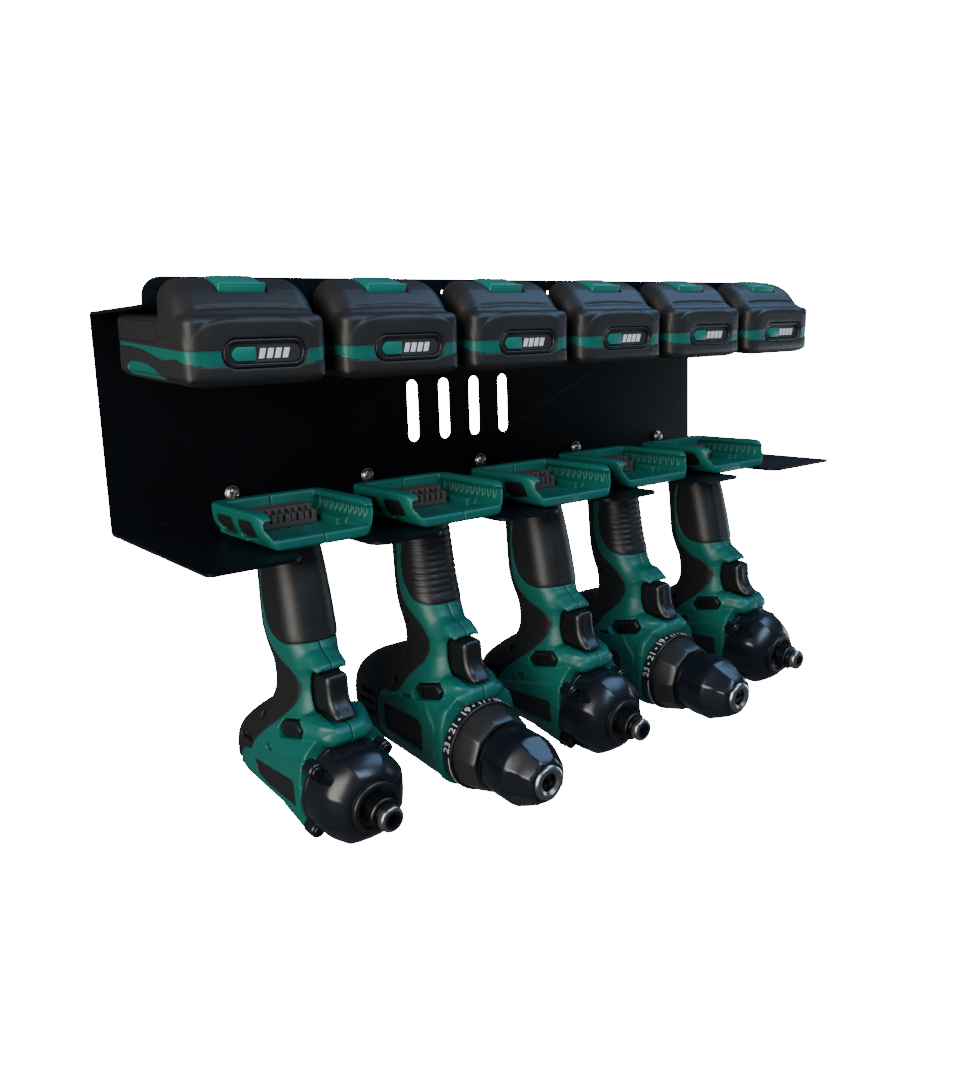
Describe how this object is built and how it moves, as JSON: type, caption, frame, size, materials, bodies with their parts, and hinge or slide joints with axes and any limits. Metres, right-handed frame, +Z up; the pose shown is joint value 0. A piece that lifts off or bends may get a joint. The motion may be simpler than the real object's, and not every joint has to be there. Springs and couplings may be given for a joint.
{
  "type": "drill and battery shelf",
  "caption": "Black folded steel wall rack with battery packs hanging from rails under its ledge and cordless drills and impact drivers hanging upside down in its slotted shelf.",
  "frame": {"origin": "centre of the back plate's rear face, in the plane of the wall", "axes": "+X along the rack to the right as seen from the room, +Y into the wall, +Z up"},
  "size_m": [0.56, 0.2477, 0.3267],
  "materials": {
    "rack_coat": "satin black powder coat on folded steel sheet",
    "zinc_screw": "bright zinc-plated domed screw head",
    "pack_plastic": "finely textured charcoal moulded plastic",
    "pack_button": "satin teal moulded plastic",
    "tool_teal": "satin teal moulded nylon with black overmoulded grip",
    "grip_rubber": "fine textured black overmoulding",
    "terminal_plastic": "brown-grey terminal block with contact slots",
    "case_grey": "dark grey satin-gloss nose",
    "trigger_black": "polished black trigger",
    "switch_black": "satin black slide switch",
    "chuck_black": "satin black chuck sleeve with steel tip ring",
    "holder_steel": "dark sleeve with a bright steel tip ring"
  },
  "bodies": {
    "rack": {"rack": "rack_coat", "wall_screw_1": "zinc_screw", "wall_screw_2": "zinc_screw", "wall_screw_3": "zinc_screw", "wall_screw_4": "zinc_screw", "wall_screw_5": "zinc_screw"},
    "pack_1": {"pack_1_case": "pack_plastic"},
    "pack_1_release": {"pack_1_release_button": "pack_button"},
    "pack_1_gauge": {"pack_1_gauge_button": "pack_button"},
    "pack_2": {"pack_2_case": "pack_plastic"},
    "pack_2_release": {"pack_2_release_button": "pack_button"},
    "pack_2_gauge": {"pack_2_gauge_button": "pack_button"},
    "pack_3": {"pack_3_case": "pack_plastic"},
    "pack_3_release": {"pack_3_release_button": "pack_button"},
    "pack_3_gauge": {"pack_3_gauge_button": "pack_button"},
    "pack_4": {"pack_4_case": "pack_plastic"},
    "pack_4_release": {"pack_4_release_button": "pack_button"},
    "pack_4_gauge": {"pack_4_gauge_button": "pack_button"},
    "pack_5": {"pack_5_case": "pack_plastic"},
    "pack_5_release": {"pack_5_release_button": "pack_button"},
    "pack_5_gauge": {"pack_5_gauge_button": "pack_button"},
    "pack_6": {"pack_6_case": "pack_plastic"},
    "pack_6_release": {"pack_6_release_button": "pack_button"},
    "pack_6_gauge": {"pack_6_gauge_button": "pack_button"},
    "tool_1": {"tool_1_housing_left": "tool_teal", "tool_1_housing_right": "tool_teal", "tool_1_terminal_block": "terminal_plastic", "tool_1_gear_case": "case_grey"},
    "tool_1_trigger": {"tool_1_trigger": "trigger_black"},
    "tool_1_direction": {"tool_1_direction_switch": "switch_black"},
    "tool_1_output": {"tool_1_bit_holder": "holder_steel"},
    "tool_2": {"tool_2_housing_left": "tool_teal", "tool_2_housing_right": "tool_teal", "tool_2_terminal_block": "terminal_plastic"},
    "tool_2_trigger": {"tool_2_trigger": "trigger_black"},
    "tool_2_direction": {"tool_2_direction_switch": "switch_black"},
    "tool_2_clutch": {"tool_2_clutch_collar": "case_grey"},
    "tool_2_output": {"tool_2_chuck": "chuck_black"},
    "tool_3": {"tool_3_housing_left": "tool_teal", "tool_3_housing_right": "tool_teal", "tool_3_terminal_block": "terminal_plastic", "tool_3_gear_case": "case_grey"},
    "tool_3_trigger": {"tool_3_trigger": "trigger_black"},
    "tool_3_direction": {"tool_3_direction_switch": "switch_black"},
    "tool_3_output": {"tool_3_bit_holder": "holder_steel"},
    "tool_4": {"tool_4_housing_left": "tool_teal", "tool_4_housing_right": "tool_teal", "tool_4_terminal_block": "terminal_plastic"},
    "tool_4_trigger": {"tool_4_trigger": "trigger_black"},
    "tool_4_direction": {"tool_4_direction_switch": "switch_black"},
    "tool_4_clutch": {"tool_4_clutch_collar": "case_grey"},
    "tool_4_output": {"tool_4_chuck": "chuck_black"},
    "tool_5": {"tool_5_housing_left": "tool_teal", "tool_5_housing_right": "tool_teal", "tool_5_terminal_block": "terminal_plastic", "tool_5_gear_case": "case_grey"},
    "tool_5_trigger": {"tool_5_trigger": "trigger_black"},
    "tool_5_direction": {"tool_5_direction_switch": "switch_black"},
    "tool_5_output": {"tool_5_bit_holder": "holder_steel"}
  },
  "joints": [
    {"name": "pack_1_slide", "type": "slide", "parent": "rack", "child": "pack_1", "axis": [0, -0.9983, -0.0576], "range_m": [0, 0.065]},
    {"name": "pack_1_release_press", "type": "slide", "parent": "pack_1", "child": "pack_1_release", "axis": [0, 0.3955, -0.9184], "range_m": [0, 0.003], "stiffness_N_per_m": 1500, "springref_m": -0.001},
    {"name": "pack_1_gauge_press", "type": "slide", "parent": "pack_1", "child": "pack_1_gauge", "axis": [0, 0.9983, 0.0576], "range_m": [0, 0.001], "stiffness_N_per_m": 2000, "springref_m": -0.0005},
    {"name": "pack_2_slide", "type": "slide", "parent": "rack", "child": "pack_2", "axis": [0, -0.9983, -0.0576], "range_m": [0, 0.065]},
    {"name": "pack_2_release_press", "type": "slide", "parent": "pack_2", "child": "pack_2_release", "axis": [0, 0.3955, -0.9184], "range_m": [0, 0.003], "stiffness_N_per_m": 1500, "springref_m": -0.001},
    {"name": "pack_2_gauge_press", "type": "slide", "parent": "pack_2", "child": "pack_2_gauge", "axis": [0, 0.9983, 0.0576], "range_m": [0, 0.001], "stiffness_N_per_m": 2000, "springref_m": -0.0005},
    {"name": "pack_3_slide", "type": "slide", "parent": "rack", "child": "pack_3", "axis": [0, -0.9983, -0.0576], "range_m": [0, 0.065]},
    {"name": "pack_3_release_press", "type": "slide", "parent": "pack_3", "child": "pack_3_release", "axis": [0, 0.3955, -0.9184], "range_m": [0, 0.003], "stiffness_N_per_m": 1500, "springref_m": -0.001},
    {"name": "pack_3_gauge_press", "type": "slide", "parent": "pack_3", "child": "pack_3_gauge", "axis": [0, 0.9983, 0.0576], "range_m": [0, 0.001], "stiffness_N_per_m": 2000, "springref_m": -0.0005},
    {"name": "pack_4_slide", "type": "slide", "parent": "rack", "child": "pack_4", "axis": [0, -0.9983, -0.0576], "range_m": [0, 0.065]},
    {"name": "pack_4_release_press", "type": "slide", "parent": "pack_4", "child": "pack_4_release", "axis": [0, 0.3955, -0.9184], "range_m": [0, 0.003], "stiffness_N_per_m": 1500, "springref_m": -0.001},
    {"name": "pack_4_gauge_press", "type": "slide", "parent": "pack_4", "child": "pack_4_gauge", "axis": [0, 0.9983, 0.0576], "range_m": [0, 0.001], "stiffness_N_per_m": 2000, "springref_m": -0.0005},
    {"name": "pack_5_slide", "type": "slide", "parent": "rack", "child": "pack_5", "axis": [0, -0.9983, -0.0576], "range_m": [0, 0.065]},
    {"name": "pack_5_release_press", "type": "slide", "parent": "pack_5", "child": "pack_5_release", "axis": [0, 0.3955, -0.9184], "range_m": [0, 0.003], "stiffness_N_per_m": 1500, "springref_m": -0.001},
    {"name": "pack_5_gauge_press", "type": "slide", "parent": "pack_5", "child": "pack_5_gauge", "axis": [0, 0.9983, 0.0576], "range_m": [0, 0.001], "stiffness_N_per_m": 2000, "springref_m": -0.0005},
    {"name": "pack_6_slide", "type": "slide", "parent": "rack", "child": "pack_6", "axis": [0, -0.9983, -0.0576], "range_m": [0, 0.065]},
    {"name": "pack_6_release_press", "type": "slide", "parent": "pack_6", "child": "pack_6_release", "axis": [0, 0.3955, -0.9184], "range_m": [0, 0.003], "stiffness_N_per_m": 1500, "springref_m": -0.001},
    {"name": "pack_6_gauge_press", "type": "slide", "parent": "pack_6", "child": "pack_6_gauge", "axis": [0, 0.9983, 0.0576], "range_m": [0, 0.001], "stiffness_N_per_m": 2000, "springref_m": -0.0005},
    {"name": "tool_1_slide", "type": "slide", "parent": "rack", "child": "tool_1", "axis": [0, -1, 0], "range_m": [0, 0.11]},
    {"name": "tool_1_trigger_pull", "type": "slide", "parent": "tool_1", "child": "tool_1_trigger", "axis": [0, 1, 0], "range_m": [0, 0.006], "stiffness_N_per_m": 1200, "springref_m": -0.002},
    {"name": "tool_1_direction_slide", "type": "slide", "parent": "tool_1", "child": "tool_1_direction", "axis": [1, 0, 0], "range_m": [-0.002, 0.002]},
    {"name": "tool_1_output_spin", "type": "hinge", "parent": "tool_1", "child": "tool_1_output", "pos_m": [-0.2013, -0.18342, -0.2147], "axis": [0, -0.9981, -0.061], "continuous": true},
    {"name": "tool_2_slide", "type": "slide", "parent": "rack", "child": "tool_2", "axis": [0, -1, 0], "range_m": [0, 0.11]},
    {"name": "tool_2_trigger_pull", "type": "slide", "parent": "tool_2", "child": "tool_2_trigger", "axis": [0, 1, 0], "range_m": [0, 0.006], "stiffness_N_per_m": 1200, "springref_m": -0.002},
    {"name": "tool_2_direction_slide", "type": "slide", "parent": "tool_2", "child": "tool_2_direction", "axis": [1, 0, 0], "range_m": [-0.002, 0.002]},
    {"name": "tool_2_clutch_turn", "type": "hinge", "parent": "tool_2", "child": "tool_2_clutch", "pos_m": [-0.1059, -0.15998, -0.21287], "axis": [0, -0.9981, -0.061], "range_deg": [0, 300]},
    {"name": "tool_2_output_spin", "type": "hinge", "parent": "tool_2", "child": "tool_2_output", "pos_m": [-0.1059, -0.18992, -0.2147], "axis": [0, -0.9981, -0.061], "continuous": true},
    {"name": "tool_3_slide", "type": "slide", "parent": "rack", "child": "tool_3", "axis": [0, -1, 0], "range_m": [0, 0.11]},
    {"name": "tool_3_trigger_pull", "type": "slide", "parent": "tool_3", "child": "tool_3_trigger", "axis": [0, 1, 0], "range_m": [0, 0.006], "stiffness_N_per_m": 1200, "springref_m": -0.002},
    {"name": "tool_3_direction_slide", "type": "slide", "parent": "tool_3", "child": "tool_3_direction", "axis": [1, 0, 0], "range_m": [-0.002, 0.002]},
    {"name": "tool_3_output_spin", "type": "hinge", "parent": "tool_3", "child": "tool_3_output", "pos_m": [-0.0105, -0.19442, -0.2147], "axis": [0, -0.9981, -0.061], "continuous": true},
    {"name": "tool_4_slide", "type": "slide", "parent": "rack", "child": "tool_4", "axis": [0, -1, 0], "range_m": [0, 0.11]},
    {"name": "tool_4_trigger_pull", "type": "slide", "parent": "tool_4", "child": "tool_4_trigger", "axis": [0, 1, 0], "range_m": [0, 0.006], "stiffness_N_per_m": 1200, "springref_m": -0.002},
    {"name": "tool_4_direction_slide", "type": "slide", "parent": "tool_4", "child": "tool_4_direction", "axis": [1, 0, 0], "range_m": [-0.002, 0.002]},
    {"name": "tool_4_clutch_turn", "type": "hinge", "parent": "tool_4", "child": "tool_4_clutch", "pos_m": [0.0849, -0.15348, -0.21287], "axis": [0, -0.9981, -0.061], "range_deg": [0, 300]},
    {"name": "tool_4_output_spin", "type": "hinge", "parent": "tool_4", "child": "tool_4_output", "pos_m": [0.0849, -0.18342, -0.2147], "axis": [0, -0.9981, -0.061], "continuous": true},
    {"name": "tool_5_slide", "type": "slide", "parent": "rack", "child": "tool_5", "axis": [0, -1, 0], "range_m": [0, 0.11]},
    {"name": "tool_5_trigger_pull", "type": "slide", "parent": "tool_5", "child": "tool_5_trigger", "axis": [0, 1, 0], "range_m": [0, 0.006], "stiffness_N_per_m": 1200, "springref_m": -0.002},
    {"name": "tool_5_direction_slide", "type": "slide", "parent": "tool_5", "child": "tool_5_direction", "axis": [1, 0, 0], "range_m": [-0.002, 0.002]},
    {"name": "tool_5_output_spin", "type": "hinge", "parent": "tool_5", "child": "tool_5_output", "pos_m": [0.1803, -0.18492, -0.2147], "axis": [0, -0.9981, -0.061], "continuous": true}
  ]
}
